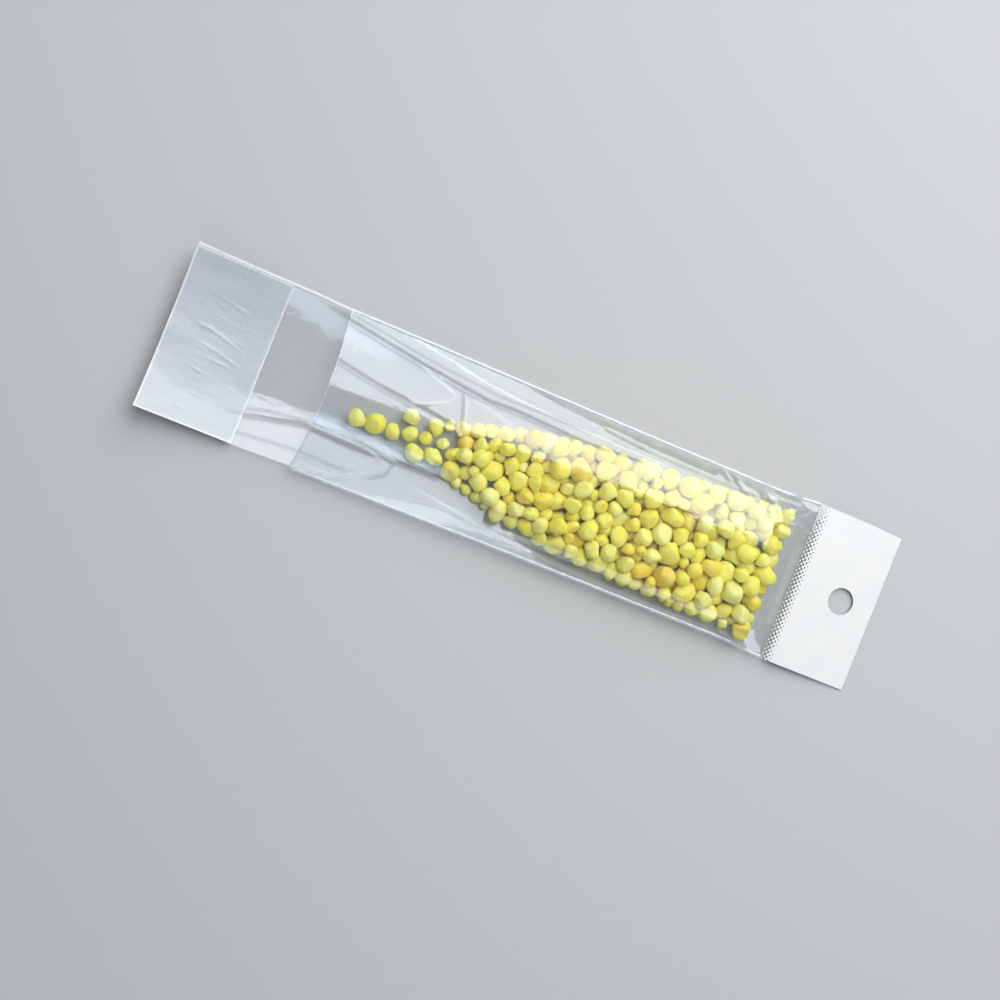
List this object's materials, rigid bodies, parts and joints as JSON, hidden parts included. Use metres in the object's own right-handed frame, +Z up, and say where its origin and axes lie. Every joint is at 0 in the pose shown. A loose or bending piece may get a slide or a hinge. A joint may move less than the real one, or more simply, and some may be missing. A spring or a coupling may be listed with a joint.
{
  "type": "header bag",
  "caption": "Slim clear film header bag, part filled with yellow wax pastilles, with a white hang-hole header and an open adhesive flap under its release liner.",
  "frame": {"origin": "centre of the footprint, on the surface that the bag lies on", "axes": "+X along the bag from the adhesive flap to the header, +Y across it, +Z up out of the front ply"},
  "size_m": [0.2246, 0.05, 0.0098],
  "materials": {
    "clear_film": "clear glossy polypropylene film",
    "white_ink": "opaque white print under gloss film",
    "adhesive": "clear pressure-sensitive adhesive",
    "release_film": "translucent white satin release film",
    "yellow_wax": "satin waxy"
  },
  "bodies": {
    "root": {"film_bag": "clear_film", "header_print": "white_ink", "adhesive_strip": "adhesive", "release_liner": "release_film", "pastille_heap": "yellow_wax", "pastille_01": "yellow_wax", "pastille_02": "yellow_wax", "pastille_03": "yellow_wax", "pastille_04": "yellow_wax", "pastille_05": "yellow_wax", "pastille_06": "yellow_wax", "pastille_07": "yellow_wax", "pastille_08": "yellow_wax", "pastille_09": "yellow_wax", "pastille_10": "yellow_wax", "pastille_11": "yellow_wax"}
  },
  "joints": []
}
